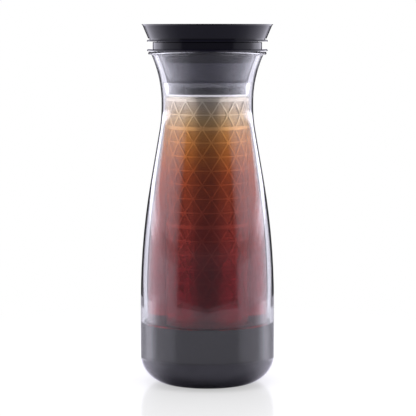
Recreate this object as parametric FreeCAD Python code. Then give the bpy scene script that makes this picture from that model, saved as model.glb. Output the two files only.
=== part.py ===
import FreeCAD, Part
import math
import os

# Cold brew carafe: a double-walled glass carafe with a black base cup between its walls, a
# lift-out steel filter tube that hangs in its throat, and a lift-off pouring lid whose cap
# rises by itself when the carafe is tilted.
# Millimetres. The axis of every turned piece is Z, and z = 0 is the table.

# Outer glass
GLASS_HEIGHT = 265.8
GLASS_WALL = 2.1
BELLY_RADIUS = 53.7
FOOT_BEND = 22.0
FOOT_WIDTH = 7.0
PUSH_UP = 1.6
PUSH_UP_SLOPE = 12.0
PUSH_UP_BEND = 40.0
SHOULDER_LENGTH = 99.0
SHOULDER_BEND = 570.0
WAIST_DROP = 52.8
WAIST_BEND = 113.0
THROAT_RADIUS = 36.6
NECK_DROP = 22.3
NECK_BEND = 95.0
LIP_FLARE = 8.0
LIP_BEND = 1.0
LIP_WALL = 1.6
RIM_WIDTH = 2.6
RIM_THICKNESS = 2.4

# Inner glass, and the base cup that it stands in
INNER_WALL = 1.2
BELLY_GAP = 2.5
THROAT_GAP = 0.6
INNER_BEND = 20.0
INNER_TOP_DROP = 24.3
FLARE_BEND = 4.0
CUP_TOP = 49.5
CUP_GAP = 0.35
CUP_FLOOR = 5.2

# Filter
FILTER_RADIUS = 24.8
FILTER_ROWS = 16
FILTER_COLUMNS = 12
ROW_HEIGHT = 11.1
LATTICE_THICKNESS = 0.5
STRUT_WIDTH = 0.9
BAND_WIDTH = 2.8
BAND_ROWS = (2, 9, 16)
LATTICE_TURN = -98.5
TOP_MARGIN = 3.0
MESH_THICKNESS = 0.4
SHEET = 0.6
COLLAR_GAP = 1.0
COLLAR_BELOW_NECK = 13.3
SLEEVE_LENGTH = 6.0
BASE_DISH_RADIUS = 17.0
BASE_DISH_DEPTH = 2.2
SEAL_GRIP = 2.0
SEAL_LIP = 0.6
SEAL_HEIGHT = 1.6
SEAL_GAP = 0.15

# Pouring lid
SEAT_GAP = 0.3
FIT = 0.05
PLASTIC_WALL = 2.0
RIM_GAP = 0.4
FLANGE_OVERHANG = 0.9
FLANGE_THICKNESS = 1.6
BAND_SETBACK = 3.6
BAND_HEIGHT = 5.7
SPIGOT_DEPTH = 8.8
SPIGOT_GAP = 2.8
FUNNEL_DEPTH = 19.2
FUNNEL_BEND_DROP = 11.9
FUNNEL_SWELL = 1.3
FUNNEL_BEND = 60.0
PLUG_GAP = 1.3
PLUG_HEIGHT = 5.6
SEAM_STEP = 0.2
SNAP_LENGTH = 3.0
GASKET_WIDTH = 2.2
GASKET_DEPTH = 0.7
GASKET_PROUD = 0.1
EDGE_BREAK = 0.5

# Rising cap
CAP_TRAVEL = 8.0
CAP_HEIGHT = 13.7
CAP_FLARE = 4.2
CAP_LIP_WIDTH = 0.9
CAP_LIP_HEIGHT = 1.2
CAP_OVERHANG = 1.0
CAP_FLANGE_WIDTH = 1.0
CAP_FLANGE_THICKNESS = 1.4
CAP_GROOVE_DEPTH = 2.0
CAP_GROOVE_HEIGHT = 1.0
CAP_RIM_WIDTH = 1.8
DISC_THICKNESS = 2.0
DISC_DROP = 0.7
DISC_DISH = 0.9
DISC_SLOPE = 12.0
DISC_BEND = 60.0
DISC_LEDGE = 2.0
CORE_CLEARANCE = 1.4
CORE_GAP = 0.5
CORE_WALL = 3.2
CAP_SEAL_HEIGHT = 3.6
CAP_SEAL_DEPTH = 1.2
STEM_RADIUS = 3.0
STEM_SLIDE = 0.08
BOSS_RADIUS = 6.0
BOSS_DEPTH = 11.0
STEM_SOCKET = 9.0
GUIDE_HUB_RADIUS = 5.6
GUIDE_HUB_HEIGHT = 8.0
GUIDE_RING_HEIGHT = 3.0
GUIDE_ARM_WIDTH = 1.8
GUIDE_ARMS = 3
CLIP_RADIUS = 5.2
CLIP_THICKNESS = 1.6
CLIP_GROOVE = 0.8
STEM_TAIL = 1.4

# Levels that follow from the sizes above
NECK_LEVEL = GLASS_HEIGHT - NECK_DROP
WAIST_LEVEL = GLASS_HEIGHT - WAIST_DROP
SHOULDER_LEVEL = WAIST_LEVEL - SHOULDER_LENGTH
INNER_TOP = GLASS_HEIGHT - INNER_TOP_DROP
GLASS_FLOOR = PUSH_UP + GLASS_WALL
COLLAR_LEVEL = NECK_LEVEL - COLLAR_BELOW_NECK
LATTICE_TOP = COLLAR_LEVEL - TOP_MARGIN
LATTICE_BOTTOM = LATTICE_TOP - FILTER_ROWS * ROW_HEIGHT
TUBE_BOTTOM = LATTICE_BOTTOM - BAND_WIDTH / 2
FLANGE_LEVEL = GLASS_HEIGHT + RIM_GAP
BAND_TOP = FLANGE_LEVEL + FLANGE_THICKNESS + BAND_HEIGHT
SPIGOT_LEVEL = FLANGE_LEVEL - SPIGOT_DEPTH
FUNNEL_BOTTOM = SPIGOT_LEVEL - FUNNEL_DEPTH
PLUG_BOTTOM = FUNNEL_BOTTOM - PLUG_HEIGHT
GUIDE_LEVEL = FUNNEL_BOTTOM + SNAP_LENGTH
CAP_LEVEL = BAND_TOP + SEAT_GAP
CAP_TOP = CAP_LEVEL + CAP_HEIGHT
DISC_TOP = CAP_TOP - DISC_DROP
CLIP_LEVEL = GUIDE_LEVEL - CAP_TRAVEL - SEAT_GAP - CLIP_THICKNESS

# Radii that follow from the sizes above
INNER_BELLY = BELLY_RADIUS - GLASS_WALL - BELLY_GAP
INNER_THROAT = THROAT_RADIUS - GLASS_WALL - THROAT_GAP
THROAT_BORE = INNER_THROAT - INNER_WALL
LATTICE_BORE = FILTER_RADIUS - LATTICE_THICKNESS
MESH_RADIUS = LATTICE_BORE * math.cos(math.pi / FILTER_COLUMNS / 2) - FIT
MESH_BORE = MESH_RADIUS - MESH_THICKNESS
SLEEVE_RADIUS = MESH_BORE - FIT
COLLAR_RADIUS = THROAT_BORE - COLLAR_GAP
PLUG_RADIUS = THROAT_BORE - PLUG_GAP
FUNNEL_RADIUS = PLUG_RADIUS + SEAM_STEP
FUNNEL_BORE = FUNNEL_RADIUS - PLASTIC_WALL
LIP_RADIUS = THROAT_RADIUS + LIP_FLARE
RIM_RADIUS = LIP_RADIUS + RIM_WIDTH
FLANGE_RADIUS = RIM_RADIUS + FLANGE_OVERHANG
BAND_RADIUS = RIM_RADIUS - BAND_SETBACK
CORE_RADIUS = BAND_RADIUS - PLASTIC_WALL - CORE_CLEARANCE
CAP_FLANGE_RADIUS = RIM_RADIUS + CAP_OVERHANG
CAP_FOOT_RADIUS = CAP_FLANGE_RADIUS - CAP_FLANGE_WIDTH
CAP_GROOVE_RADIUS = CAP_FLANGE_RADIUS - CAP_GROOVE_DEPTH
CAP_TOP_RADIUS = CAP_FLANGE_RADIUS + CAP_FLARE
CAP_SHOULDER_RADIUS = CAP_TOP_RADIUS - CAP_LIP_WIDTH

UP = FreeCAD.Vector(0, 0, 1)
OUT = FreeCAD.Vector(1, 0, 0)
ORIGIN = FreeCAD.Vector(0, 0, 0)


def at(radius, height):
    """A point of a turned profile."""
    return FreeCAD.Vector(radius, 0, height)


def straight(*points):
    """Straight edges through the points."""
    return [Part.makeLine(a, b) for a, b in zip(points, points[1:])]


def bulge(start, middle, end):
    """A circular arc through three points."""
    return Part.Arc(start, middle, end).toShape()


def outline(*corners):
    """An open run of straight edges; each corner but the ends is rounded by its own bend."""
    edges = []
    start = corners[0][0]
    for before, (corner, bend), after in zip(corners, corners[1:], corners[2:]):
        back = (before[0] - corner).normalize()
        ahead = (after[0] - corner).normalize()
        half = back.getAngle(ahead) / 2
        reach = bend / math.tan(half)
        inward = (back + ahead).normalize() * (bend / math.sin(half) - bend)
        arc_start = corner + back * reach
        arc_end = corner + ahead * reach
        edges += straight(start, arc_start)
        edges.append(bulge(arc_start, corner + inward, arc_end))
        start = arc_end
    return edges + straight(start, corners[-1][0])


def turned(edges):
    """The solid that the closed profile makes when it is turned about the axis."""
    wire = Part.Wire(Part.__sortEdges__(edges))
    return Part.Face(wire).revolve(ORIGIN, UP, 360)


def turned_corners(*points):
    """The solid that a straight-sided profile makes when it is turned about the axis."""
    return turned(straight(*points, points[0]))


def ring(inner, outer, bottom, top):
    """A plain ring of rectangular section."""
    return turned_corners(at(inner, bottom), at(outer, bottom), at(outer, top), at(inner, top))


def radius_at(edges, height):
    """The radius of an open profile at a height above the floor."""
    level = Part.makeLine(at(0, height), at(RIM_RADIUS + BELLY_RADIUS, height))
    touching = Part.Wire(edges).distToShape(level)[1]
    return touching[0][0].x


def glass_bore():
    """The inside of the outer glass, from the middle of its floor to the top of its rim."""
    belly = BELLY_RADIUS - GLASS_WALL
    throat = THROAT_RADIUS - GLASS_WALL
    return outline(
        (at(0, GLASS_FLOOR), 0),
        (at(belly, GLASS_FLOOR), FOOT_BEND - GLASS_WALL),
        (at(belly, SHOULDER_LEVEL), SHOULDER_BEND - GLASS_WALL),
        (at(throat, WAIST_LEVEL), WAIST_BEND + GLASS_WALL),
        (at(throat, NECK_LEVEL), NECK_BEND + GLASS_WALL),
        (at(LIP_RADIUS - LIP_WALL, GLASS_HEIGHT), 0),
    )


def glass_carafe():
    """The outer glass: foot with a push-up, straight belly, long shoulder, throat, flared rim."""
    bead = RIM_THICKNESS / 2
    rim_bottom = at(RIM_RADIUS - bead, GLASS_HEIGHT - RIM_THICKNESS)
    rim_top = at(RIM_RADIUS - bead, GLASS_HEIGHT)
    foot_inside = BELLY_RADIUS - FOOT_BEND - FOOT_WIDTH
    push_up = outline(
        (at(0, PUSH_UP), 0),
        (at(foot_inside - PUSH_UP_SLOPE, PUSH_UP), PUSH_UP_BEND),
        (at(foot_inside, 0), 0),
    )
    outside = outline(
        (at(foot_inside, 0), 0),
        (at(BELLY_RADIUS, 0), FOOT_BEND),
        (at(BELLY_RADIUS, SHOULDER_LEVEL), SHOULDER_BEND),
        (at(THROAT_RADIUS, WAIST_LEVEL), WAIST_BEND),
        (at(THROAT_RADIUS, NECK_LEVEL), NECK_BEND),
        (at(LIP_RADIUS, GLASS_HEIGHT - RIM_THICKNESS), LIP_BEND),
        (rim_bottom, 0),
    )
    edges = [
        *push_up,
        *outside,
        bulge(rim_bottom, at(RIM_RADIUS, GLASS_HEIGHT - bead), rim_top),
        *straight(rim_top, at(LIP_RADIUS - LIP_WALL, GLASS_HEIGHT)),
        *glass_bore(),
        *straight(at(0, GLASS_FLOOR), at(0, PUSH_UP)),
    ]
    return turned(edges)


def inner_side(offset):
    """The inner glass's outside, or with an offset its bore, from its floor to its joint."""
    floor = GLASS_FLOOR + CUP_FLOOR
    joint = radius_at(glass_bore(), INNER_TOP) - FIT
    return outline(
        (at(0, floor + offset), 0),
        (at(INNER_BELLY - offset, floor + offset), INNER_BEND - offset),
        (at(INNER_BELLY - offset, SHOULDER_LEVEL), SHOULDER_BEND - offset),
        (at(INNER_THROAT - offset, WAIST_LEVEL), WAIST_BEND + offset),
        (at(INNER_THROAT - offset, COLLAR_LEVEL), FLARE_BEND + offset),
        (at(joint - offset, INNER_TOP), 0),
    )


def inner_glass():
    """The inner glass, which holds the brew: a gap inside the outer one and joined at its neck."""
    outside = inner_side(0)
    bore = inner_side(INNER_WALL)
    top_outside = outside[-1].Vertexes[-1].Point
    top_bore = bore[-1].Vertexes[-1].Point
    bottom_outside = outside[0].Vertexes[0].Point
    bottom_bore = bore[0].Vertexes[0].Point
    ends = straight(top_outside, top_bore) + straight(bottom_bore, bottom_outside)
    return turned([*outside, *bore, *ends])


def base_cup():
    """The black cup between the two glasses: it fills the gap from the floor up to its lip."""
    bottom = GLASS_FLOOR + FIT
    top = GLASS_FLOOR + CUP_FLOOR - FIT
    bore = INNER_BELLY + FIT
    radius = BELLY_RADIUS - GLASS_WALL - CUP_GAP
    outside = outline(
        (at(0, bottom), 0),
        (at(radius, bottom), FOOT_BEND - GLASS_WALL - CUP_GAP),
        (at(radius, CUP_TOP), 0),
    )
    inside = outline(
        (at(bore, CUP_TOP), 0),
        (at(bore, top), INNER_BEND),
        (at(0, top), 0),
    )
    lip = straight(at(radius, CUP_TOP), at(bore, CUP_TOP))
    return turned([*outside, *lip, *inside, *straight(at(0, top), at(0, bottom))])


def bar_half(row):
    """Half the height of the horizontal bar on a row line."""
    return (BAND_WIDTH if row in BAND_ROWS else STRUT_WIDTH) / 2


def window(row, upright):
    """One cutter for the windows between row line row and the line below it."""
    half_base = FILTER_RADIUS * math.sin(math.pi / FILTER_COLUMNS)
    side = math.hypot(half_base, ROW_HEIGHT)
    inset = STRUT_WIDTH / 2 * side / half_base
    top = LATTICE_TOP - row * ROW_HEIGHT
    bottom = top - ROW_HEIGHT
    tip = top - inset if upright else bottom + inset
    high = top - bar_half(row)
    low = bottom + bar_half(row + 1)
    high = min(high, tip) if upright else high
    low = low if upright else max(low, tip)
    high_half = abs(high - tip) * half_base / ROW_HEIGHT
    low_half = abs(low - tip) * half_base / ROW_HEIGHT
    corners = [(-low_half, low), (low_half, low), (high_half, high), (-high_half, high)]
    corners = list(dict.fromkeys((abs(x) and x, z) for x, z in corners))
    inner = FILTER_RADIUS / 2
    points = [FreeCAD.Vector(inner, x, z) for x, z in corners]
    face = Part.Face(Part.makePolygon(points + points[:1]))
    return face.extrude(OUT * FILTER_RADIUS)


def flat_sided(radius):
    """A bar with one narrow flat to each half triangle, its corners on the row points."""
    flats = 2 * FILTER_COLUMNS
    points = []
    for index in range(flats):
        angle = math.radians(LATTICE_TURN + index * 360 / flats)
        points.append(FreeCAD.Vector(radius * math.cos(angle), radius * math.sin(angle), TUBE_BOTTOM))
    face = Part.Face(Part.makePolygon(points + points[:1]))
    return face.extrude(UP * (COLLAR_LEVEL - TUBE_BOTTOM))


def filter_lattice():
    """The etched steel tube: rows of triangles, each row turned half a triangle from the last."""
    tube = flat_sided(FILTER_RADIUS).cut(flat_sided(LATTICE_BORE))
    step = 360 / FILTER_COLUMNS
    cutters = []
    for row in range(FILTER_ROWS):
        for upright in (True, False):
            cutter = window(row, upright)
            shift = 0 if upright == (row % 2 == 0) else step / 2
            for column in range(FILTER_COLUMNS):
                copy = cutter.copy()
                copy.rotate(ORIGIN, UP, LATTICE_TURN + shift + column * step)
                cutters.append(copy)
    return tube.cut(Part.makeCompound(cutters))


def filter_mesh():
    """The fine mesh sleeve that lines the lattice from the base cup to the collar."""
    return ring(MESH_BORE, MESH_RADIUS, TUBE_BOTTOM, COLLAR_LEVEL)


def filter_collar():
    """The pressed collar: a sleeve in the tube and a flat shoulder out over the throat."""
    shoulder_top = COLLAR_LEVEL + SHEET
    sleeve_bottom = COLLAR_LEVEL - SLEEVE_LENGTH
    sleeve_bore = SLEEVE_RADIUS - SHEET
    return turned_corners(
        at(sleeve_bore, sleeve_bottom),
        at(SLEEVE_RADIUS, sleeve_bottom),
        at(SLEEVE_RADIUS, COLLAR_LEVEL),
        at(COLLAR_RADIUS, COLLAR_LEVEL),
        at(COLLAR_RADIUS, shoulder_top),
        at(sleeve_bore, shoulder_top),
    )


def collar_seal():
    """The silicone seal: a channel on the collar's edge that beds in the narrowing throat."""
    grip = COLLAR_RADIUS - SEAL_GRIP
    channel_top = COLLAR_LEVEL + SHEET + FIT
    channel_bottom = COLLAR_LEVEL - FIT
    top = channel_top + SEAL_HEIGHT
    bore = inner_side(INNER_WALL)
    return turned_corners(
        at(grip, channel_top),
        at(COLLAR_RADIUS + FIT, channel_top),
        at(COLLAR_RADIUS + FIT, channel_bottom),
        at(grip, channel_bottom),
        at(grip, channel_bottom - SEAL_LIP),
        at(THROAT_BORE - SEAL_GAP, channel_bottom - SEAL_LIP),
        at(THROAT_BORE - SEAL_GAP, channel_top),
        at(radius_at(bore, top) - SEAL_GAP, top),
        at(grip, top),
    )


def filter_base():
    """The pressed base cup: a sleeve in the tube, a flat rim under it, and a dished floor."""
    bore = SLEEVE_RADIUS - SHEET
    rim_bottom = TUBE_BOTTOM - SHEET
    sleeve_top = TUBE_BOTTOM + SLEEVE_LENGTH
    dish_bottom = rim_bottom - BASE_DISH_DEPTH
    dish_bore = BASE_DISH_RADIUS - SHEET
    return turned_corners(
        at(0, dish_bottom),
        at(BASE_DISH_RADIUS, dish_bottom),
        at(BASE_DISH_RADIUS + BASE_DISH_DEPTH, rim_bottom),
        at(FILTER_RADIUS, rim_bottom),
        at(FILTER_RADIUS, TUBE_BOTTOM),
        at(SLEEVE_RADIUS, TUBE_BOTTOM),
        at(SLEEVE_RADIUS, sleeve_top),
        at(bore, sleeve_top),
        at(bore, TUBE_BOTTOM),
        at(dish_bore + BASE_DISH_DEPTH, TUBE_BOTTOM),
        at(dish_bore, dish_bottom + SHEET),
        at(0, dish_bottom + SHEET),
    )


def spigot_radius():
    """The outside of the lid's spigot at its foot, a gap inside the flared mouth."""
    return radius_at(glass_bore(), SPIGOT_LEVEL) - SPIGOT_GAP


def gasket_radius():
    """The middle of the rim gasket, over the middle of the glass rim's flat top."""
    return (RIM_RADIUS - RIM_THICKNESS / 2 + LIP_RADIUS - LIP_WALL) / 2


def lid_collar():
    """The lid's fixed body: a flange over the glass rim, a pouring band, a tapered spigot."""
    spigot = spigot_radius()
    spigot_top = LIP_RADIUS - LIP_WALL - SPIGOT_GAP
    flange_top = FLANGE_LEVEL + FLANGE_THICKNESS
    band_bore = BAND_RADIUS - PLASTIC_WALL
    gasket_bore = gasket_radius() - GASKET_WIDTH / 2
    groove_top = FLANGE_LEVEL + GASKET_DEPTH
    return turned_corners(
        at(spigot - PLASTIC_WALL, SPIGOT_LEVEL),
        at(spigot, SPIGOT_LEVEL),
        at(spigot_top, FLANGE_LEVEL),
        at(gasket_bore, FLANGE_LEVEL),
        at(gasket_bore, groove_top),
        at(gasket_bore + GASKET_WIDTH, groove_top),
        at(gasket_bore + GASKET_WIDTH, FLANGE_LEVEL),
        at(FLANGE_RADIUS - EDGE_BREAK, FLANGE_LEVEL),
        at(FLANGE_RADIUS, FLANGE_LEVEL + EDGE_BREAK),
        at(FLANGE_RADIUS, flange_top - EDGE_BREAK),
        at(FLANGE_RADIUS - EDGE_BREAK, flange_top),
        at(BAND_RADIUS, flange_top),
        at(BAND_RADIUS, BAND_TOP - EDGE_BREAK),
        at(BAND_RADIUS - EDGE_BREAK, BAND_TOP),
        at(band_bore, BAND_TOP),
        at(band_bore, flange_top),
        at(spigot_top - PLASTIC_WALL, flange_top),
        at(spigot_top - PLASTIC_WALL, FLANGE_LEVEL),
    )


def rim_gasket():
    """The silicone ring in the flange's groove, which beds on the glass rim."""
    inner = gasket_radius() - GASKET_WIDTH / 2
    bottom = FLANGE_LEVEL - GASKET_PROUD
    return ring(inner, inner + GASKET_WIDTH, bottom, FLANGE_LEVEL + GASKET_DEPTH)


def pour_funnel():
    """The funnel that leads coffee from the throat up to the pouring band."""
    top = spigot_radius() - SEAM_STEP
    sleeve = spigot_radius() - PLASTIC_WALL - FIT
    sleeve_bore = sleeve - PLASTIC_WALL
    bend_level = SPIGOT_LEVEL - FUNNEL_BEND_DROP
    outside = outline(
        (at(top, SPIGOT_LEVEL), 0),
        (at(FUNNEL_RADIUS + FUNNEL_SWELL, bend_level), FUNNEL_BEND),
        (at(FUNNEL_RADIUS, FUNNEL_BOTTOM), 0),
    )
    inside = outline(
        (at(FUNNEL_BORE, FUNNEL_BOTTOM), 0),
        (at(FUNNEL_BORE + FUNNEL_SWELL, bend_level), FUNNEL_BEND + PLASTIC_WALL),
        (at(sleeve_bore, SPIGOT_LEVEL), 0),
    )
    edges = [
        *outside,
        *straight(at(FUNNEL_RADIUS, FUNNEL_BOTTOM), at(FUNNEL_BORE, FUNNEL_BOTTOM)),
        *inside,
        *straight(
            at(sleeve_bore, SPIGOT_LEVEL),
            at(sleeve_bore, SPIGOT_LEVEL + SNAP_LENGTH),
            at(sleeve, SPIGOT_LEVEL + SNAP_LENGTH),
            at(sleeve, SPIGOT_LEVEL),
            at(top, SPIGOT_LEVEL),
        ),
    ]
    return turned(edges)


def plug_ring():
    """The ring at the funnel's foot, which closes on the filter's seal."""
    snap_radius = FUNNEL_BORE - FIT
    snap_top = FUNNEL_BOTTOM + SNAP_LENGTH
    bore = snap_radius - PLASTIC_WALL
    return turned_corners(
        at(bore, PLUG_BOTTOM),
        at(PLUG_RADIUS - EDGE_BREAK, PLUG_BOTTOM),
        at(PLUG_RADIUS, PLUG_BOTTOM + EDGE_BREAK),
        at(PLUG_RADIUS, FUNNEL_BOTTOM),
        at(snap_radius, FUNNEL_BOTTOM),
        at(snap_radius, snap_top),
        at(bore, snap_top),
    )


def stem_guide():
    """The spider that carries the stem: a ring on the plug ring, arms, and a bored hub."""
    ring_radius = FUNNEL_BORE - FIT
    ring_bore = ring_radius - PLASTIC_WALL
    ring_top = GUIDE_LEVEL + GUIDE_RING_HEIGHT
    bore = STEM_RADIUS + STEM_SLIDE
    body = ring(ring_bore, ring_radius, GUIDE_LEVEL, ring_top)
    hub = ring(bore, GUIDE_HUB_RADIUS, GUIDE_LEVEL, GUIDE_LEVEL + GUIDE_HUB_HEIGHT)
    start = (GUIDE_HUB_RADIUS + bore) / 2
    length = ring_bore + PLASTIC_WALL / 2 - start
    arms = []
    for index in range(GUIDE_ARMS):
        corner = FreeCAD.Vector(start, -GUIDE_ARM_WIDTH / 2, GUIDE_LEVEL)
        arm = Part.makeBox(length, GUIDE_ARM_WIDTH, GUIDE_RING_HEIGHT, corner)
        arm.rotate(ORIGIN, UP, index * 360 / GUIDE_ARMS + 90)
        arms.append(arm)
    return body.fuse([hub, *arms]).removeSplitter()


def cap_shell():
    """The cap's moulding: a hollow inverted cone over a flange, with a core and a stem boss."""
    groove_bottom = CAP_LEVEL + CAP_FLANGE_THICKNESS
    groove_top = groove_bottom + CAP_GROOVE_HEIGHT
    rim_bore = CAP_TOP_RADIUS - CAP_RIM_WIDTH
    ledge_bore = rim_bore - DISC_LEDGE
    disc_bottom = DISC_TOP - DISC_THICKNESS
    floor_top = CAP_LEVEL + PLASTIC_WALL
    core_bore = CORE_RADIUS - CORE_WALL
    seal_bottom, seal_top, seal_inner = cap_seal_seat()
    boss_bottom = CAP_LEVEL - BOSS_DEPTH
    socket_radius = STEM_RADIUS + FIT
    socket_top = boss_bottom + STEM_SOCKET
    return turned_corners(
        at(0, floor_top),
        at(CAP_GROOVE_RADIUS - PLASTIC_WALL, floor_top),
        at(ledge_bore, disc_bottom),
        at(rim_bore, disc_bottom),
        at(rim_bore, CAP_TOP),
        at(CAP_TOP_RADIUS, CAP_TOP),
        at(CAP_SHOULDER_RADIUS, CAP_TOP - CAP_LIP_HEIGHT),
        at(CAP_FOOT_RADIUS, groove_top),
        at(CAP_GROOVE_RADIUS, groove_top),
        at(CAP_GROOVE_RADIUS, groove_bottom),
        at(CAP_FLANGE_RADIUS - EDGE_BREAK, groove_bottom),
        at(CAP_FLANGE_RADIUS, groove_bottom - EDGE_BREAK),
        at(CAP_FLANGE_RADIUS, CAP_LEVEL),
        at(CORE_RADIUS, CAP_LEVEL),
        at(CORE_RADIUS, seal_top),
        at(seal_inner, seal_top),
        at(seal_inner, seal_bottom),
        at(CORE_RADIUS, seal_bottom),
        at(CORE_RADIUS, FLANGE_LEVEL + FLANGE_THICKNESS + CORE_GAP),
        at(core_bore, FLANGE_LEVEL + FLANGE_THICKNESS + CORE_GAP),
        at(core_bore, CAP_LEVEL),
        at(BOSS_RADIUS, CAP_LEVEL),
        at(BOSS_RADIUS, boss_bottom),
        at(socket_radius, boss_bottom),
        at(socket_radius, socket_top),
        at(0, socket_top),
    )


def cap_seal_seat():
    """The bottom, top and inner radius of the groove that holds the cap's seal."""
    core_bottom = FLANGE_LEVEL + FLANGE_THICKNESS + CORE_GAP
    middle = (core_bottom + CAP_LEVEL) / 2
    half = CAP_SEAL_HEIGHT / 2
    return middle - half, middle + half, CORE_RADIUS - CAP_SEAL_DEPTH


def cap_seal():
    """The silicone ring on the core, with two lips that close against the pouring band."""
    bottom, top, inner = cap_seal_seat()
    lip_radius = BAND_RADIUS - PLASTIC_WALL - SEAT_GAP
    middle = (bottom + top) / 2
    return turned_corners(
        at(inner, bottom),
        at(CORE_RADIUS, bottom),
        at(lip_radius, (bottom + middle) / 2),
        at(CORE_RADIUS, middle),
        at(lip_radius, (middle + top) / 2),
        at(CORE_RADIUS, top),
        at(inner, top),
    )


def cap_disc():
    """The dished disc let into the top of the cap."""
    radius = CAP_TOP_RADIUS - CAP_RIM_WIDTH - FIT
    bottom = DISC_TOP - DISC_THICKNESS
    low = DISC_TOP - DISC_DISH
    dish = outline(
        (at(radius, DISC_TOP), 0),
        (at(radius - DISC_SLOPE, low), DISC_BEND),
        (at(0, low), 0),
    )
    walls = straight(at(0, low), at(0, bottom), at(radius, bottom), at(radius, DISC_TOP))
    return turned([*dish, *walls])


def cap_stem():
    """The stem that guides the cap: pressed into the boss, grooved for the clip."""
    bottom = CLIP_LEVEL - STEM_TAIL
    groove_radius = STEM_RADIUS - CLIP_GROOVE
    groove_top = CLIP_LEVEL + CLIP_THICKNESS
    top = CAP_LEVEL - BOSS_DEPTH + STEM_SOCKET
    return turned_corners(
        at(0, bottom),
        at(STEM_RADIUS - EDGE_BREAK, bottom),
        at(STEM_RADIUS, bottom + EDGE_BREAK),
        at(STEM_RADIUS, CLIP_LEVEL),
        at(groove_radius, CLIP_LEVEL),
        at(groove_radius, groove_top),
        at(STEM_RADIUS, groove_top),
        at(STEM_RADIUS, top),
        at(0, top),
    )


def stem_clip():
    """The clip in the stem's groove, which stops the cap under the guide."""
    inner = STEM_RADIUS - CLIP_GROOVE + FIT
    clip = ring(inner, CLIP_RADIUS, CLIP_LEVEL, CLIP_LEVEL + CLIP_THICKNESS)
    mouth = FreeCAD.Vector(0, -inner, CLIP_LEVEL)
    return clip.cut(Part.makeBox(CLIP_RADIUS, 2 * inner, CLIP_THICKNESS, mouth))


PIECES = (
    glass_carafe,
    inner_glass,
    base_cup,
    filter_lattice,
    filter_mesh,
    filter_collar,
    collar_seal,
    filter_base,
    lid_collar,
    rim_gasket,
    pour_funnel,
    plug_ring,
    stem_guide,
    cap_shell,
    cap_seal,
    cap_disc,
    cap_stem,
    stem_clip,
)

os.makedirs("parts", exist_ok=True)
for make in PIECES:
    make().exportStep(f"parts/{make.__name__}.step")
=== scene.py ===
import math
import bmesh
import bpy
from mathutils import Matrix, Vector


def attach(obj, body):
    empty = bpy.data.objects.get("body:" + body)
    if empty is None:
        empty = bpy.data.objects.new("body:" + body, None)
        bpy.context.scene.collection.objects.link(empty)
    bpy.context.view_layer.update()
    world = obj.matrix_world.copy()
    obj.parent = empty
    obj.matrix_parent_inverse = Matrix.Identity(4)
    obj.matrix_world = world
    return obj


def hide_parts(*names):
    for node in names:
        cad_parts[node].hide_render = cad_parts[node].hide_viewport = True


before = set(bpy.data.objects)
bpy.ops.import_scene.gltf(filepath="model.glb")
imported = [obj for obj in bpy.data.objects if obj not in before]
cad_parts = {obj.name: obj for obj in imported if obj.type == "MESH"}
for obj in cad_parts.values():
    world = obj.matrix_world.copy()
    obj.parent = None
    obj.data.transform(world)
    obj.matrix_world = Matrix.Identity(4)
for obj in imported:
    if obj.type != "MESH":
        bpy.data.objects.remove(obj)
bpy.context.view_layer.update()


# The camera stands about level with the lid, a long way back, and looks slightly down at the
# middle of the carafe.
CAMERA_PLACE = Vector((0.0005, -1.45, 0.279))
CAMERA_AIM = Vector((0.0005, 0.0, 0.1406))
CAMERA_LENS = 156.9


def stand(thing, place):
    """Put the camera or a lamp in its place, pointed at the middle of the carafe."""
    thing.location = place
    thing.rotation_euler = (CAMERA_AIM - place).to_track_quat("-Z", "Y").to_euler()
    bpy.context.scene.collection.objects.link(thing)


camera_data = bpy.data.cameras.new("camera")
camera_data.lens = CAMERA_LENS
camera = bpy.data.objects.new("camera", camera_data)
stand(camera, CAMERA_PLACE)
bpy.context.scene.camera = camera
bpy.context.scene.view_settings.view_transform = "Standard"


# The studio: dark behind the camera, a tall softbox at each side that is brightest towards the
# back, and a white sweep behind the carafe. What lies under the table's level is dimmer, and
# the floor under the table is pale.
BRIGHTEST = 3.4
UNDERNEATH = 0.08
ROOM_FILL = 0.55
GLASS_FILL = 0.9
COOL_LIGHT = (1.0, 0.98, 1.12, 1)
# Each table pairs turns from the camera, in degrees, with the room's brightness there. First
# what gloss and glass mirror, from the upper part of the room down to the floor.
MIRRORED_UPPER = (
    (0, 0.06), (53, 0.07), (57, 0.42), (65, 0.7), (73, 0.88), (88, 0.98), (100, 0.9), (112, 0.7),
    (121, 0.55), (148, 0.6), (153, 0.06), (171, 0.06), (174, 1.7), (180, 1.7),
)
MIRRORED_ABOVE_TABLE = (
    (0, 0.12), (54, 0.12), (58, 0.3), (70, 0.42), (86, 0.6), (104, 0.95), (119, 2.1), (148, 1.8),
    (155, 1.6), (158, 0.08), (170, 0.08), (174, 1.7), (180, 1.7),
)
MIRRORED_UNDER_TABLE = (
    (0, 0.11), (53, 0.11), (56, 0.42), (65, 0.7), (74, 0.82), (84, 0.9), (94, 0.92), (110, 0.96),
    (121, 1.0), (148, 0.9), (153, 0.06), (180, 0.05),
)
MIRRORED_FLOOR_EDGE = (
    (0, 0.42), (53, 0.42), (56, 0.52), (65, 0.68), (80, 0.72), (97, 0.76), (107, 1.2),
    (116, 1.75), (128, 1.5), (140, 0.9), (152, 0.65), (180, 0.5),
)
MIRRORED_FLOOR = (
    (0, 0.25), (50, 0.27), (66, 0.31), (86, 0.5), (110, 1.05), (140, 1.7), (180, 1.7),
)
FUNNEL_FLOOR = ((0, 0.38), (40, 0.6), (60, 1.3), (80, 1.8), (99, 2.4), (180, 2.4))
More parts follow.
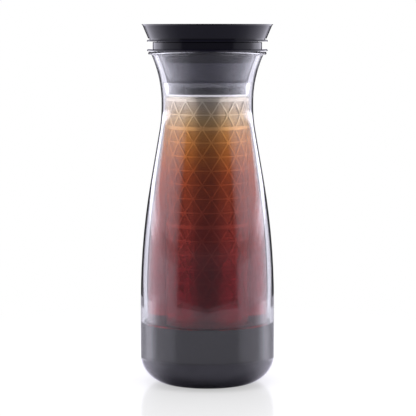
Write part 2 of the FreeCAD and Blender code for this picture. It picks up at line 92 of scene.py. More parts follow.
# What is seen through the glass, above the table's level, under it and further down.
SEEN_ABOVE_TABLE = ((0, 0.2), (60, 0.4), (90, 0.8), (120, 1.5), (180, 1.7))
SEEN_UNDER_TABLE = (
    (0, 0.2), (54, 0.2), (60, 0.4), (80, 0.75), (94, 0.95), (108, 1.3), (120, 1.9), (131, 2.7),
    (142, 3.3), (150, 2.6), (156, 1.5), (164, 0.9), (172, 0.72), (180, 0.66),
)
SEEN_DEEP = (
    (0, 0.2), (94, 0.7), (120, 1.3), (142, 1.9), (150, 1.3), (156, 0.8), (164, 0.55),
    (172, 0.5), (180, 0.48),
)
# What the steel of the filter mirrors, out through both glasses.
FILTER_UPPER = (
    (0, 0.02), (24, 0.03), (36, 0.7), (50, 2.3), (64, 2.8), (100, 3.4), (180, 3.4),
)
FILTER_LOWER = ((0, 1.0), (20, 1.05), (40, 1.2), (90, 1.8), (180, 2.4))
# The rises at which one table gives way to the next, and how softly.
UPPER_START = 0.04
TABLE_LEVEL = -0.018
LEVEL_SOFTNESS = 0.006
FLOOR_EDGE_START = -0.142
FLOOR_EDGE_CURVE = 0.009
FLOOR_EDGE_SOFTNESS = 0.001
FLOOR_START = -0.2
FLOOR_SOFTNESS = 0.015
UNDERNEATH_START = -0.94
UNDERNEATH_SOFTNESS = 0.03
DEEP_FROM, DEEP_TO = -0.05, -0.13
FILTER_FROM, FILTER_TO = -0.15, -0.085
# How many walls a ray has gone through where it has met the funnel, or the filter.
FUNNEL_WALLS = 3
FILTER_WALLS = 7


def links_in(tree):
    """A short way to add a node: its type, then its settings, then what feeds its sockets."""
    def add(kind, settings=None, **sockets):
        node = tree.nodes.new(kind)
        for name, value in (settings or {}).items():
            setattr(node, name, value)
        for name, value in sockets.items():
            numbered = name[0] == "_" and name[1:].isdigit()
            socket = node.inputs[int(name[1:]) if numbered else name.replace("_", " ")]
            if isinstance(value, bpy.types.NodeSocket):
                tree.links.new(value, socket)
            else:
                socket.default_value = value
        return node
    return add


def computed(add, operation, first, *second):
    """A number worked out from one or two others."""
    numbers = {f"_{place}": value for place, value in enumerate((first, *second))}
    return add("ShaderNodeMath", {"operation": operation}, **numbers).outputs[0]


def eased(add, value, start, end, low=0.0, high=1.0):
    """A smooth change from low to high while the value goes from start to end."""
    return add("ShaderNodeMapRange", {"interpolation_type": "SMOOTHSTEP"}, Value=value,
               From_Min=start, From_Max=end, To_Min=low, To_Max=high).outputs[0]


def between(add, factor, low, high):
    """A number that runs from low to high with the factor."""
    return add("ShaderNodeMix", {"data_type": "FLOAT"}, _0=factor, _2=low, _3=high).outputs[0]


def blended(add, factor, first, second):
    """A colour that runs from the first to the second with the factor."""
    return add("ShaderNodeMix", {"data_type": "RGBA"}, _0=factor, _6=first, _7=second).outputs[2]


def shaded_ramp(add, factor, stops):
    """A colour ramp on the factor: each stop is a place from 0 to 1 and a colour."""
    ramp = add("ShaderNodeValToRGB", _0=factor)
    marks = ramp.color_ramp.elements
    while len(marks) < len(stops):
        marks.new(0.5)
    for mark, (place, shade) in zip(marks, stops):
        mark.position = place
    for mark, (place, shade) in zip(marks, stops):
        mark.color = (*shade, 1)
    return ramp.outputs[0]


world = bpy.data.worlds.new("studio")
bpy.context.scene.world = world
world.use_nodes = True
world.node_tree.nodes.clear()
room = links_in(world.node_tree)
direction = room("ShaderNodeSeparateXYZ", _0=room("ShaderNodeTexCoord").outputs["Generated"])
rise = direction.outputs["Z"]
sideways = computed(room, "ABSOLUTE", direction.outputs["X"])
forward = computed(room, "MULTIPLY", direction.outputs["Y"], -1.0)
turn = computed(room, "DEGREES", computed(room, "ARCTAN2", sideways, forward))
rays = room("ShaderNodeLightPath").outputs


def levels(stops):
    """The brightness round the room."""
    place = computed(room, "DIVIDE", turn, 180.0)
    ramp = shaded_ramp(room, place, [(a / 180, (b / BRIGHTEST,) * 3) for a, b in stops])
    return computed(room, "MULTIPLY", ramp, BRIGHTEST)


def below(height, level, softness):
    """One below a level of the room, zero above it."""
    return eased(room, height, level + softness, level - softness)


def past(count, number):
    """One where a ray's count is past a whole number, zero up to it."""
    return eased(room, rays[count], number + 0.2, number + 0.8)


on_upper = eased(room, rise, UPPER_START - LEVEL_SOFTNESS, UPPER_START + LEVEL_SOFTNESS)
under_table = below(rise, TABLE_LEVEL, LEVEL_SOFTNESS)
curve = computed(room, "MULTIPLY", sideways, FLOOR_EDGE_CURVE)
on_floor_edge = below(computed(room, "SUBTRACT", rise, curve), FLOOR_EDGE_START,
                      FLOOR_EDGE_SOFTNESS)
on_floor = below(rise, FLOOR_START, FLOOR_SOFTNESS)
underneath = below(rise, UNDERNEATH_START, UNDERNEATH_SOFTNESS)
upper = between(room, on_upper, levels(MIRRORED_ABOVE_TABLE), levels(MIRRORED_UPPER))
lower = between(room, on_floor_edge, levels(MIRRORED_UNDER_TABLE), levels(MIRRORED_FLOOR_EDGE))
floor = between(room, past("Transmission Depth", FUNNEL_WALLS), levels(MIRRORED_FLOOR),
                levels(FUNNEL_FLOOR))
floor = between(room, underneath, floor, UNDERNEATH)
mirrored = between(room, on_floor, between(room, under_table, upper, lower), floor)
seen_lower = between(room, eased(room, rise, DEEP_FROM, DEEP_TO), levels(SEEN_UNDER_TABLE),
                     levels(SEEN_DEEP))
seen = between(room, under_table, levels(SEEN_ABOVE_TABLE), seen_lower)
on_filter = between(room, eased(room, rise, FILTER_FROM, FILTER_TO), levels(FILTER_LOWER),
                    levels(FILTER_UPPER))
inside = between(room, past("Transmission Depth", FILTER_WALLS), mirrored, on_filter)
mirrored_once = past("Glossy Depth", 0)
through = between(room, mirrored_once, seen, inside)
through = between(room, past("Diffuse Depth", 0), through, GLASS_FILL)
level = between(room, rays["Is Glossy Ray"], ROOM_FILL, mirrored)
level = between(room, rays["Is Transmission Ray"], level, through)
level = between(room, rays["Is Camera Ray"], level, 1.0)
cool = between(room, rays["Is Glossy Ray"], mirrored_once, 1.0)
shine = room("ShaderNodeBackground", Color=blended(room, cool, (1, 1, 1, 1), COOL_LIGHT),
             Strength=level)
room("ShaderNodeOutputWorld", Surface=shine.outputs[0])

# Three soft lamps: each has a place, its two sides in metres and its power in watts.
LAMPS = (
    ("lamp_overhead", (0.0, -0.1, 1.3), (1.2, 1.2), 9.0),
    ("lamp_left", (-1.2, -0.5, 0.5), (0.6, 1.2), 5.0),
    ("lamp_right", (1.2, -0.5, 0.5), (0.6, 1.2), 5.0),
)
for name, place, sides, power in LAMPS:
    lamp_data = bpy.data.lights.new(name, "AREA")
    lamp_data.shape = "RECTANGLE"
    lamp_data.size, lamp_data.size_y = sides
    lamp_data.energy = power
    lamp = bpy.data.objects.new(name, lamp_data)
    lamp.visible_camera = False
    lamp.visible_glossy = False
    lamp.visible_transmission = False
    stand(lamp, Vector(place))


# The table is a round white acrylic top with a soft shine that mirrors the carafe's foot. Gloss
# and glass see the top itself near the foot only, and the studio's floor further out.
# In what gloss and glass see, the top has painted shade in front of the carafe and a painted glow
# beside it.
TABLE_RADIUS = 0.76
TABLE_CENTRE = 0.30
TABLE_DROP = 0.0001
TABLE_EDGE = 0.11
TABLE_WHITE = (0.9, 0.9, 0.92, 1)
# Painted shade on the top in front of the carafe, seen only in gloss and glass.
PAINTED_SHADE_IN_FRONT = (0.38, 0.37, 0.43, 1)
TABLE_ROUGHNESS = 0.18
TABLE_GLOW = 0.5
PAINTED_GLOW_BESIDE = 0.9
GLOW_WHITE = (1, 1, 1, 1)
# Painted glow of the top beside the carafe, seen only in gloss and glass.
PAINTED_GLOW_MIRRORED = (1.25, 1.2, 1.45, 1)
FADE_START, FADE_END = 0.06, 0.4
BESIDE_START, BESIDE_END = -0.8, 0.2


def finish_named(name):
    """An empty node material and the way to add nodes to it."""
    finish = bpy.data.materials.new(name)
    finish.use_nodes = True
    finish.node_tree.nodes.clear()
    return finish, links_in(finish.node_tree)


table_mesh = bpy.data.meshes.new("floor")
disc = bmesh.new()
bmesh.ops.create_circle(disc, cap_ends=True, segments=128, radius=TABLE_RADIUS)
bmesh.ops.translate(disc, verts=disc.verts, vec=(0, TABLE_CENTRE, -TABLE_DROP))
disc.to_mesh(table_mesh)
disc.free()
table = bpy.data.objects.new("floor", table_mesh)
bpy.context.scene.collection.objects.link(table)

white_table, add = finish_named("white_table")
rays = add("ShaderNodeLightPath").outputs
place = add("ShaderNodeTexCoord").outputs["Object"]
away = add("ShaderNodeVectorMath", {"operation": "LENGTH"}, _0=place).outputs["Value"]
backward = computed(add, "DIVIDE", add("ShaderNodeSeparateXYZ", _0=place).outputs["Y"], away)
# Painted light: the top is darker in front of the carafe and glows beside it, for gloss and glass.
painted_light_beside = eased(add, backward, BESIDE_START, BESIDE_END)
shade = blended(add, rays["Is Camera Ray"], blended(add, painted_light_beside, PAINTED_SHADE_IN_FRONT, TABLE_WHITE),
                TABLE_WHITE)
top = add("ShaderNodeBsdfPrincipled", Base_Color=shade, Roughness=TABLE_ROUGHNESS)
glow_shade = blended(add, rays["Is Camera Ray"], PAINTED_GLOW_MIRRORED, GLOW_WHITE)
glow = add("ShaderNodeEmission", Color=glow_shade, Strength=1.0)
fade = eased(add, away, FADE_START, FADE_END)
glow_seen = add("ShaderNodeMapRange", Value=fade, To_Min=TABLE_GLOW).outputs[0]
painted_glow_mirrored = computed(add, "MULTIPLY", painted_light_beside, PAINTED_GLOW_BESIDE)
glow_share = between(add, rays["Is Camera Ray"], painted_glow_mirrored, glow_seen)
lit_top = add("ShaderNodeMixShader", _0=glow_share, _1=top.outputs[0], _2=glow.outputs[0])
in_mirror = computed(add, "MAXIMUM", rays["Is Glossy Ray"], rays["Is Transmission Ray"])
hidden = computed(add, "MULTIPLY", in_mirror, computed(add, "GREATER_THAN", away, TABLE_EDGE))
gone = add("ShaderNodeBsdfTransparent")
shown = add("ShaderNodeMixShader", _0=hidden, _1=lit_top.outputs[0], _2=gone.outputs[0])
add("ShaderNodeOutputMaterial", Surface=shown.outputs[0])
table_mesh.materials.append(white_table)


# The outer glass: blown in one piece from the rim to the foot, an even thin wall that follows
# the waist, clear and fire polished. Sizes are in millimetres.
MM = 0.001
GLASS_WALL = 2.1
PUSH_UP = 1.6
PUSH_UP_RADIUS = 12.7
PUSH_UP_BEND = 40
GLASS_FLOOR = PUSH_UP + GLASS_WALL
FOOT_RADIUS = 24.7
FOOT_EDGE = 6
FOOT_BEND = 22
BELLY = 53.7
SHOULDER = 114
SHOULDER_BEND = 570
WAIST = 213
WAIST_BEND = 113
THROAT = 36.6
NECK = 243.5
NECK_BEND = 95
GLASS_TOP = 265.8
LIP = 44.6
LIP_BEND = 1
LIP_WALL = 1.6
RIM_WIDTH = 2.6
RIM_THICKNESS = 2.4
RIM_BEND = 1.15
TURN_STEPS = 192
BEND_STEP = math.radians(1.5)
SHARP_CORNER = math.radians(40)
ON_AXIS = 1e-7
GLASS_IOR = 1.47
OUTER_TINT = (0.955, 0.96, 0.97, 1)
# Painted shade darkens the side where it turns away: its colour, and how far the side is turned
# where the painted shade starts, low down and high up. It fades out towards the foot and the
# mouth.
OUTER_PAINTED_SHADE_BAND = ((0.03, 0.026, 0.03, 1), 0.69, 0.79)
EDGE_BLUR = 0.02
EDGE_LOW, EDGE_HIGH = 72, 100
EDGE_GONE_BELOW, EDGE_FULL_BELOW = 60, 64
EDGE_GONE_ABOVE, EDGE_FULL_ABOVE = 240, 210


def rounded(*corners):
    """Profile points through (radius, height, bend) corners in millimetres, bends as arcs."""
    points = [Vector(corners[0][:2])]
    for before, here, after in zip(corners, corners[1:], corners[2:]):
        corner = Vector(here[:2])
        bend = here[2]
        if bend == 0:
            points.append(corner)
            continue
        back = (Vector(before[:2]) - corner).normalized()
        ahead = (Vector(after[:2]) - corner).normalized()
        half = back.angle(ahead) / 2
        reach = bend / math.tan(half)
        centre = corner + (back + ahead).normalized() * bend / math.sin(half)
        first = corner + back * reach - centre
        last = corner + ahead * reach - centre
        sweep = math.atan2(first.cross(last), first.dot(last))
        steps = max(2, math.ceil(abs(sweep) / BEND_STEP))
        for step in range(steps + 1):
            angle = sweep * step / steps
            turned = Vector((first.x * math.cos(angle) - first.y * math.sin(angle),
                             first.x * math.sin(angle) + first.y * math.cos(angle)))
            points.append(centre + turned)
    points.append(Vector(corners[-1][:2]))
    return points


def show(name, mesh, finish, body):
    """The mesh as a piece that rides on a body, smooth but for its corners."""
    data = bpy.data.meshes.new(name)
    mesh.to_mesh(data)
    mesh.free()
    data.shade_smooth()
    data.set_sharp_from_angle(angle=SHARP_CORNER)
    piece = bpy.data.objects.new(name, data)
    bpy.context.scene.collection.objects.link(piece)
    data.materials.append(finish)
    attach(piece, body)
    return piece


def turned_piece(name, profile, finish, body, lining=None, lined_from=0):
    """A piece turned about the axis from a closed profile; a lining may finish its last rings."""
    mesh = bmesh.new()
    rings = []
    for point in profile:
        radius, height = point[0] * MM, point[1] * MM
        if radius < ON_AXIS:
            rings.append([mesh.verts.new((0, 0, height))])
            continue
        ring = []
        for step in range(TURN_STEPS):
            angle = step * 2 * math.pi / TURN_STEPS
            around = (radius * math.cos(angle), radius * math.sin(angle), height)
            ring.append(mesh.verts.new(around))
        rings.append(ring)
    for index, (low, high) in enumerate(zip(rings, rings[1:] + rings[:1])):
        if len(low) == 1 and len(high) == 1:
            continue
        for step in range(TURN_STEPS):
            after = (step + 1) % TURN_STEPS
            if len(low) == 1:
                face = (low[0], high[after], high[step])
            elif len(high) == 1:
                face = (low[step], low[after], high[0])
            else:
                face = (low[step], low[after], high[after], high[step])
            mesh.faces.new(face).material_index = int(bool(lining) and index >= lined_from)
    bmesh.ops.recalc_face_normals(mesh, faces=mesh.faces)
    piece = show(name, mesh, finish, body)
    if lining:
        piece.data.materials.append(lining)
    return piece


def effect_group(name, takes, gives):
    """A node group with named sockets: each is a name and a socket type."""
    group = bpy.data.node_groups.new(name, "ShaderNodeTree")
    for label, kind in takes:
        group.interface.new_socket(label, in_out="INPUT", socket_type=kind)
    for label, kind in gives:
        group.interface.new_socket(label, in_out="OUTPUT", socket_type=kind)
    add = links_in(group)
    return group, add, add("NodeGroupInput").outputs


def height_up(add):
    """How high up the carafe a point of the surface is, in metres."""
    place = add("ShaderNodeTexCoord").outputs["Object"]
    return add("ShaderNodeSeparateXYZ", _0=place).outputs["Z"]


FLOAT, COLOUR = "NodeSocketFloat", "NodeSocketColor"
glass_clarity, add, given = effect_group("glass_clarity", [("Tint", COLOUR)], [("Colour", COLOUR)])
place = add("ShaderNodeTexCoord").outputs["Object"]
waves = add("ShaderNodeTexNoise", Vector=place, Scale=28.0, Detail=1.0).outputs[0]
add("NodeGroupOutput", Colour=blended(add, waves, given["Tint"], (1, 1, 1, 1)))


def clear_glass(name, tint, painted_edge=None):
    """Clear polished glass; with a painted edge, painted shade where its side turns away."""
    finish, add = finish_named(name)
    shade = add("ShaderNodeGroup", {"node_tree": glass_clarity}, Tint=tint).outputs["Colour"]
    if painted_edge:
        painted_edge_shade, low_turn, high_turn = painted_edge
        turned_away = add("ShaderNodeLayerWeight", Blend=0.5).outputs["Facing"]
        height = height_up(add)
        start = eased(add, height, EDGE_LOW * MM, EDGE_HIGH * MM, low_turn, high_turn)
        # Painted shade: the tint goes dark where the side turns away.
        painted_dark = eased(add, computed(add, "SUBTRACT", turned_away, start), -EDGE_BLUR, EDGE_BLUR)
        above_foot = eased(add, height, EDGE_GONE_BELOW * MM, EDGE_FULL_BELOW * MM)
        below_mouth = eased(add, height, EDGE_GONE_ABOVE * MM, EDGE_FULL_ABOVE * MM)
        painted_band = computed(add, "MULTIPLY", above_foot, below_mouth)
        shade = blended(add, computed(add, "MULTIPLY", painted_dark, painted_band), shade, painted_edge_shade)
    glass = add("ShaderNodeBsdfPrincipled", Base_Color=shade, Roughness=0.0, IOR=GLASS_IOR,
                Transmission_Weight=1.0)
    add("ShaderNodeOutputMaterial", Surface=glass.outputs[0])
    return finish


outer_side = rounded(
    (0, PUSH_UP, 0), (PUSH_UP_RADIUS, PUSH_UP, PUSH_UP_BEND), (FOOT_RADIUS, 0, FOOT_EDGE),
    (BELLY, 0, FOOT_BEND), (BELLY, SHOULDER, SHOULDER_BEND), (THROAT, WAIST, WAIST_BEND),
    (THROAT, NECK, NECK_BEND), (LIP, GLASS_TOP - RIM_THICKNESS, LIP_BEND),
    (LIP + RIM_WIDTH, GLASS_TOP - RIM_THICKNESS, RIM_BEND), (LIP + RIM_WIDTH, GLASS_TOP, RIM_BEND),
    (LIP - LIP_WALL, GLASS_TOP, 0),
)
outer_bore = rounded(
    (0, GLASS_FLOOR, 0), (BELLY - GLASS_WALL, GLASS_FLOOR, FOOT_BEND - GLASS_WALL),
    (BELLY - GLASS_WALL, SHOULDER, SHOULDER_BEND - GLASS_WALL),
    (THROAT - GLASS_WALL, WAIST, WAIST_BEND + GLASS_WALL),
    (THROAT - GLASS_WALL, NECK, NECK_BEND + GLASS_WALL), (LIP - LIP_WALL, GLASS_TOP, 0),
)
outer_glass = turned_piece("outer_glass", outer_side[:-1] + outer_bore[::-1],
                           clear_glass("outer_glass", OUTER_TINT, OUTER_PAINTED_SHADE_BAND), "carafe",
                           clear_glass("outer_glass_lining", OUTER_TINT),
                           len(outer_side) - 2)
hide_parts("glass_carafe")


# The base cup: black plastic, moulded, pressed in between the two glasses before they are
# joined. It stands on the outer glass's floor and holds the inner one.
CUP_TOP = 49.5
CUP_LAST_BEND = CUP_TOP - 1
CUP_GRIP = 0.05
CUP_BORE = BELLY - 4.55
CUP_FLOOR = GLASS_FLOOR + 5.15
CUP_BEND = 20
MOTTLE_FINENESS = 900.0
MOTTLE_LIGHTER = (1.15, 1.15, 1.15)
COAT_ROUGHNESS = 0.03
GRAIN_TAKES = [("Shade", COLOUR), ("Fineness", FLOAT), ("Smoothest", FLOAT), ("Roughest", FLOAT)]
GRAIN_GIVES = [("Colour", COLOUR), ("Roughness", FLOAT)]

# The faint mottle of a moulded surface: its colour and its gloss.
mould_mottle, add, given = effect_group("mould_mottle", GRAIN_TAKES, GRAIN_GIVES)
place = add("ShaderNodeTexCoord").outputs["Object"]
mottle = add("ShaderNodeTexNoise", Vector=place, Scale=given["Fineness"], Detail=4.0).outputs[0]
rough = add("ShaderNodeMapRange", Value=mottle, To_Min=given["Smoothest"],
            To_Max=given["Roughest"]).outputs[0]
lighter = add("ShaderNodeVectorMath", {"operation": "MULTIPLY"}, _0=given["Shade"],
              _1=MOTTLE_LIGHTER).outputs[0]
add("NodeGroupOutput", Colour=blended(add, mottle, given["Shade"], lighter), Roughness=rough)


def moulded(name, shade, smoothest, roughest, specular=0.5, coat=0.0, coat_ior=1.5):
    """Moulded plastic or silicone."""
    finish, add = finish_named(name)
    surface = add("ShaderNodeGroup", {"node_tree": mould_mottle}, Shade=(*shade, 1),
                  Fineness=MOTTLE_FINENESS, Smoothest=smoothest, Roughest=roughest).outputs
    body = add("ShaderNodeBsdfPrincipled", Base_Color=surface["Colour"],
               Roughness=surface["Roughness"], Specular_IOR_Level=specular, Coat_Weight=coat,
               Coat_Roughness=COAT_ROUGHNESS, Coat_IOR=coat_ior)
    add("ShaderNodeOutputMaterial", Surface=body.outputs[0])
    return finish


satin_cup = moulded("satin_black_cup", (0.007, 0.006, 0.009), smoothest=0.05, roughest=0.07,
                    specular=0.8, coat=0.45, coat_ior=1.8)
cup_outside = [Vector((point.x + CUP_GRIP, point.y - CUP_GRIP)) for point in outer_bore[1:]
               if point.y < CUP_LAST_BEND]
cup_inside = rounded((CUP_BORE, CUP_TOP, 0), (CUP_BORE, CUP_FLOOR, CUP_BEND), (0, CUP_FLOOR, 0))
cup_wall = [Vector((0, cup_outside[0].y)), *cup_outside, Vector((cup_outside[-1].x, CUP_TOP)),
            *cup_inside]
cup = turned_piece("black_base_cup", cup_wall, satin_cup, "carafe")
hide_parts("base_cup")


# The inner glass: a second blown vessel that holds the brew, a small gap inside the first and
# fused to it under the mouth, so that the outside stays dry.
BELLY_GAP = 3.0
THROAT_GAP = 0.6
JOINT_GAP = 0.05
INNER_BELLY = BELLY - GLASS_WALL - BELLY_GAP
INNER_THROAT = THROAT - GLASS_WALL - THROAT_GAP
INNER_WALL = 1.2
INNER_FLOOR = GLASS_FLOOR + 5.2
INNER_TOP = GLASS_TOP - 24.3
INNER_BEND = 20
FLARE_BEND = 4
COLLAR_LEVEL = NECK - 13.3
INNER_TINT = (0.97, 0.975, 0.98, 1)
# Painted shade on the inner glass's side where it turns away: its colour and where it starts.
INNER_PAINTED_SHADE_BAND = ((0.25, 0.2, 0.2, 1), 0.82, 0.81)


def radius_at(profile, height):
    """The radius of a rising profile at a height."""
    for low, high in zip(profile, profile[1:]):
        if low.y < height <= high.y:
            return low.x + (high.x - low.x) * (height - low.y) / (high.y - low.y)


def inner_side(offset):
    """The inner glass's outside, or with an offset its bore, from the floor to the joint."""
    belly, throat = INNER_BELLY - offset, INNER_THROAT - offset
    floor = INNER_FLOOR + offset
    joint = radius_at(outer_bore, INNER_TOP) - JOINT_GAP
    return rounded(
        (0, floor, 0), (belly, floor, INNER_BEND - offset),
        (belly, SHOULDER, SHOULDER_BEND - offset), (throat, WAIST, WAIST_BEND + offset),
        (throat, COLLAR_LEVEL, FLARE_BEND + offset), (joint - offset, INNER_TOP, 0),
    )


inner_outside = inner_side(0)
inner_glass = turned_piece("inner_vessel", inner_outside + inner_side(INNER_WALL)[::-1],
                           clear_glass("inner_glass", INNER_TINT, INNER_PAINTED_SHADE_BAND), "carafe",
                           clear_glass("inner_glass_lining", INNER_TINT),
                           len(inner_outside) - 1)
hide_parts("inner_glass")


# The coffee fills the inner glass to the filter's collar. It is pale and amber at the top and dark
# red lower down, and painted brighter red at the very bottom as a glow of light through it. It
# wets the glass, so that no ring of air shows between them.
COFFEE_WETS = 0.1
COFFEE_TOP = 230.9
COFFEE_LAST_BEND = COFFEE_TOP - 0.5
COFFEE_LOW, COFFEE_HIGH = 44, 228
# The two lowest stops are painted glow, brighter red for light shining through the coffee; the
# rest runs from dark red up to pale amber.
COFFEE_SHADES_AND_PAINTED_GLOW = (
    (0.0, (0.52, 0.02, 0.03)), (0.05, (0.42, 0.02, 0.03)), (0.1, (0.25, 0.017, 0.026)),
    (0.27, (0.27, 0.02, 0.022)), (0.45, (0.36, 0.048, 0.03)), (0.58, (0.42, 0.068, 0.022)),
    (0.68, (0.52, 0.10, 0.024)), (0.78, (0.77, 0.25, 0.046)), (0.855, (0.93, 0.42, 0.11)),
    (0.91, (0.98, 0.67, 0.31)), (1.0, (0.99, 0.92, 0.76)),
)
COFFEE_IOR = 1.33
COFFEE_CLEARNESS = 0.76
COFFEE_DEPTHS = (0.9, 0.5, 0.4, 1)
COFFEE_THICKNESS = 3.0

coffee_finish, add = finish_named("coffee")
depth = add("ShaderNodeMapRange", Value=height_up(add), From_Min=COFFEE_LOW * MM,
            From_Max=COFFEE_HIGH * MM).outputs[0]
liquid = add("ShaderNodeBsdfPrincipled", Base_Color=shaded_ramp(add, depth, COFFEE_SHADES_AND_PAINTED_GLOW),
             Roughness=0.0, IOR=COFFEE_IOR, Transmission_Weight=COFFEE_CLEARNESS,
             Specular_IOR_Level=0.0)
thick = add("ShaderNodeVolumeAbsorption", Color=COFFEE_DEPTHS, Density=COFFEE_THICKNESS)
add("ShaderNodeOutputMaterial", Surface=liquid.outputs[0], Volume=thick.outputs[0])
coffee_side = [point for point in inner_side(INNER_WALL - COFFEE_WETS)
               if point.y < COFFEE_LAST_BEND]
coffee_wall = [*coffee_side, Vector((coffee_side[-1].x, COFFEE_TOP)), Vector((0, COFFEE_TOP))]
turned_piece("coffee", coffee_wall, coffee_finish, "carafe")


# The filter's lattice: thin stainless sheet, etched right through in rows of triangles, then
# rolled into a tube. Three of its row lines are left wide to stiffen it.
FILTER = 24.8
SHEET = 0.18
ROWS = 16
COLUMNS = 12
ROW_HEIGHT = 11.1
STRUT = 0.9
WIDE_BAR = 2.8
WIDE_ROWS = (2, 9, 16)
LATTICE_TURN = -98.5
LATTICE_TOP = COLLAR_LEVEL - 3
LATTICE_BOTTOM = LATTICE_TOP - ROWS * ROW_HEIGHT
TUBE_BOTTOM = LATTICE_BOTTOM - WIDE_BAR / 2
BAR_STEPS = 8
SLANT_STEPS = 5
SMALLEST_CUT = 0.01
SAME_PLACE = 1e-5
NO_LENGTH = 1e-6


def bar_half(row):
    """Half the height of the bar on a row line."""
    return (WIDE_BAR if row in WIDE_ROWS else STRUT) / 2


def lattice_mesh():
    """The tube laid flat as strips round every window, wrapped round the axis and thickened."""
    mesh = bmesh.new()
    half_base = math.pi * FILTER / COLUMNS
    side = math.hypot(half_base, ROW_HEIGHT)
    inset = STRUT / 2 * side / half_base
    step_turn = 360 / COLUMNS

    def vertex(across, height, middle):
        angle = math.radians(middle) + across / FILTER
        place = (FILTER * math.cos(angle) * MM, FILTER * math.sin(angle) * MM, height * MM)
        return mesh.verts.new(place)

    def strip(outer, inner, steps, middle):
        """Faces between an outer edge and an inner one, both cut into the same steps."""
        edges = []
        for (x0, z0), (x1, z1) in (outer, inner):
            edges.append([vertex(x0 + (x1 - x0) * k / steps, z0 + (z1 - z0) * k / steps, middle)
                          for k in range(steps + 1)])
        far, near = edges
        for k in range(steps):
            mesh.faces.new((far[k], far[k + 1], near[k + 1], near[k]))

    for row in range(ROWS):
        top = LATTICE_TOP - row * ROW_HEIGHT
        bottom = top - ROW_HEIGHT
        for upright in (True, False):
            tip_level, base_level = (top, bottom) if upright else (bottom, top)
            tip_row, base_row = (row, row + 1) if upright else (row + 1, row)
            way = 1 if upright else -1
            tip = tip_level - way * inset
            cut = tip_level - way * max(inset, bar_half(tip_row))
            base = base_level + way * bar_half(base_row)
            cut_half = abs(cut - tip) * half_base / ROW_HEIGHT
            base_half = abs(base - tip) * half_base / ROW_HEIGHT
            shift = 0 if upright == (row % 2 == 0) else step_turn / 2
            for column in range(COLUMNS):
                middle = LATTICE_TURN + shift + column * step_turn
                strip(((-half_base, base_level), (half_base, base_level)),
                      ((-base_half, base), (base_half, base)), BAR_STEPS, middle)
                for hand in (1, -1):
                    strip(((hand * half_base, base_level), (0, tip_level)),
                          ((hand * base_half, base), (hand * cut_half, cut)), SLANT_STEPS, middle)
                if cut_half > SMALLEST_CUT:
                    mesh.faces.new([vertex(0, tip_level, middle), vertex(-cut_half, cut, middle),
                                    vertex(cut_half, cut, middle)])
    for low, high in ((LATTICE_TOP, COLLAR_LEVEL), (TUBE_BOTTOM, LATTICE_BOTTOM)):
        for column in range(COLUMNS):
            strip(((-half_base, low), (half_base, low)), ((-half_base, high), (half_base, high)),
                  BAR_STEPS, LATTICE_TURN + column * step_turn)
    bmesh.ops.remove_doubles(mesh, verts=mesh.verts, dist=SAME_PLACE)
    bmesh.ops.dissolve_degenerate(mesh, edges=mesh.edges, dist=NO_LENGTH)
    bmesh.ops.recalc_face_normals(mesh, faces=mesh.faces)
    face = mesh.faces[0]
    if face.normal.dot(face.calc_center_median() * Vector((1, 1, 0))) < 0:
        bmesh.ops.reverse_faces(mesh, faces=mesh.faces)
    bmesh.ops.solidify(mesh, geom=mesh.faces[:], thickness=SHEET * MM)
    return mesh


# The fine grain of rolled steel, drawn out along the tube: its colour and its gloss.
DRAWN_OUT = (1, 1, 0.08)
GRAIN_DARKER = (0.86, 0.86, 0.86)
rolled_grain, add, given = effect_group("rolled_grain", GRAIN_TAKES, GRAIN_GIVES)
place = add("ShaderNodeTexCoord").outputs["Object"]
drawn = add("ShaderNodeVectorMath", {"operation": "MULTIPLY"}, _0=place, _1=DRAWN_OUT).outputs[0]
grain = add("ShaderNodeTexNoise", Vector=drawn, Scale=given["Fineness"], Detail=3.0).outputs[0]
rough = add("ShaderNodeMapRange", Value=grain, To_Min=given["Smoothest"],
            To_Max=given["Roughest"]).outputs[0]
darker = add("ShaderNodeVectorMath", {"operation": "MULTIPLY"}, _0=given["Shade"],
             _1=GRAIN_DARKER).outputs[0]
add("NodeGroupOutput", Colour=blended(add, grain, darker, given["Shade"]), Roughness=rough)

# Painted shade on the lattice low down, for the light that the dark coffee holds back there.
PAINTED_SHADE_LOW, PAINTED_SHADE_HIGH = 70, 170
PAINTED_DEPTH_SHADE = (0.66, 0.62, 0.6, 1)


def rolled(add, shade, smoothest, roughest, fineness):
    """The colour and the gloss of rolled metal."""
    return add("ShaderNodeGroup", {"node_tree": rolled_grain}, Shade=(*shade, 1),
               Fineness=fineness, Smoothest=smoothest, Roughest=roughest).outputs


def steel(name, shade, smoothest, roughest, fineness, painted_depth=False):
    """Satin stainless steel; painted shade may darken it low down, for light the coffee holds
    back.
    """
    finish, add = finish_named(name)
    surface = rolled(add, shade, smoothest, roughest, fineness)
    shade = surface["Colour"]
    if painted_depth:
        # Painted shade: darker low down, fading out higher up.
        unshaded = add("ShaderNodeMapRange", Value=height_up(add), From_Min=PAINTED_SHADE_LOW * MM,
                    From_Max=PAINTED_SHADE_HIGH * MM).outputs[0]
        painted_shaded = add("ShaderNodeMix", {"data_type": "RGBA", "blend_type": "MULTIPLY"}, _0=1.0,
                      _6=shade, _7=PAINTED_DEPTH_SHADE).outputs[2]
        shade = blended(add, unshaded, painted_shaded, shade)
    body = add("ShaderNodeBsdfPrincipled", Base_Color=shade, Metallic=1.0,
               Roughness=surface["Roughness"])
    add("ShaderNodeOutputMaterial", Surface=body.outputs[0])
    return finish


etched_steel = steel("etched_steel", (0.98, 0.96, 0.93), smoothest=0.3, roughest=0.38,
                     fineness=900.0, painted_depth=True)
lattice = show("filter_lattice_sheet", lattice_mesh(), etched_steel, "filter")
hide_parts("filter_lattice")


# The filter's mesh: a fine weave of stainless wire rolled into a sleeve and spot welded inside
# the lattice. The wires that run round it show as fine level lines.
WIRE_PITCH = 1.1
WIRE_DARKEST = 0.72


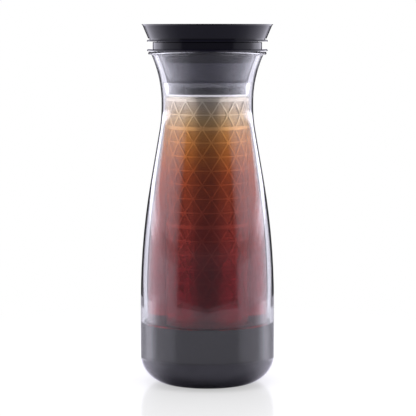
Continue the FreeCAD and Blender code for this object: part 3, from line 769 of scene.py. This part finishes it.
def dress(node, finish):
    """A solid that is shown as it is takes its finish."""
    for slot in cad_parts[node].material_slots:
        slot.material = finish


woven_steel, add = finish_named("woven_steel")
surface = rolled(add, (0.60, 0.56, 0.53), smoothest=0.26, roughest=0.32, fineness=1400.0)
angle = computed(add, "MULTIPLY", height_up(add), 2 * math.pi / (WIRE_PITCH * MM))
wire = add("ShaderNodeMapRange", Value=computed(add, "SINE", angle), From_Min=-1.0,
           To_Min=WIRE_DARKEST, To_Max=1.0).outputs[0]
shade = add("ShaderNodeVectorMath", {"operation": "SCALE"}, _0=surface["Colour"], Scale=wire)
weave = add("ShaderNodeBsdfPrincipled", Base_Color=shade.outputs[0], Metallic=1.0,
            Roughness=surface["Roughness"])
add("ShaderNodeOutputMaterial", Surface=weave.outputs[0])
dress("filter_mesh", woven_steel)


# The filter's collar and base: pressed stainless steel, pushed into the ends of the tube. A
# pale silicone channel seal grips the collar's edge and beds in the glass.
SILICONE_SHEEN = 0.8

pressed_steel = steel("pressed_steel", (0.78, 0.76, 0.74), smoothest=0.22, roughest=0.34,
                      fineness=700.0)
dress("filter_collar", pressed_steel)
dress("filter_base", pressed_steel)
clear_silicone, add = finish_named("clear_silicone")
surface = rolled(add, (0.9, 0.88, 0.85), smoothest=0.2, roughest=0.3, fineness=700.0)
silicone = add("ShaderNodeBsdfPrincipled", Base_Color=surface["Colour"],
               Roughness=surface["Roughness"], Metallic=SILICONE_SHEEN)
add("ShaderNodeOutputMaterial", Surface=silicone.outputs[0])
dress("collar_seal", clear_silicone)


# The lid's fixed part: gloss black plastic, a flange over the glass rim with a pouring band on
# it, and a matt silicone ring in a groove under the flange.
gloss_black = moulded("gloss_black_plastic", (0.004, 0.0036, 0.009), smoothest=0.06, roughest=0.1)
black_silicone = moulded("black_silicone", (0.012, 0.012, 0.013), smoothest=0.5, roughest=0.6)
dress("lid_collar", gloss_black)
dress("rim_gasket", black_silicone)


# The funnel and the ring at its foot: moulded plastic. The funnel is a dark smoke grey and a
# little less glossy than the lid. The ring is black, and closes on the filter's seal.
smoke_plastic = moulded("smoke_black_plastic", (0.016, 0.015, 0.034), smoothest=0.16,
                        roughest=0.2, specular=1.0)
ring_plastic = moulded("black_ring_plastic", (0.004, 0.0036, 0.009), smoothest=0.1,
                       roughest=0.14, specular=0.2)
dress("pour_funnel", smoke_plastic)
dress("plug_ring", ring_plastic)


# The stem guide: a moulded black spider of three arms on the plug ring, whose bored hub guides
# the cap's stem. A spring steel clip in the stem's groove stops the cap under the guide.
spring_steel = steel("spring_steel", (0.6, 0.6, 0.6), smoothest=0.25, roughest=0.35,
                     fineness=800.0)
dress("stem_guide", gloss_black)
dress("stem_clip", spring_steel)


# The cap: a hollow gloss black cone with a satin disc let into its top, a stem pressed into its
# boss, and a silicone seal with two lips round its core.
satin_black = moulded("satin_black_plastic", (0.012, 0.012, 0.014), smoothest=0.35, roughest=0.45)
dress("cap_shell", gloss_black)
dress("cap_stem", gloss_black)
dress("cap_seal", black_silicone)
dress("cap_disc", satin_black)
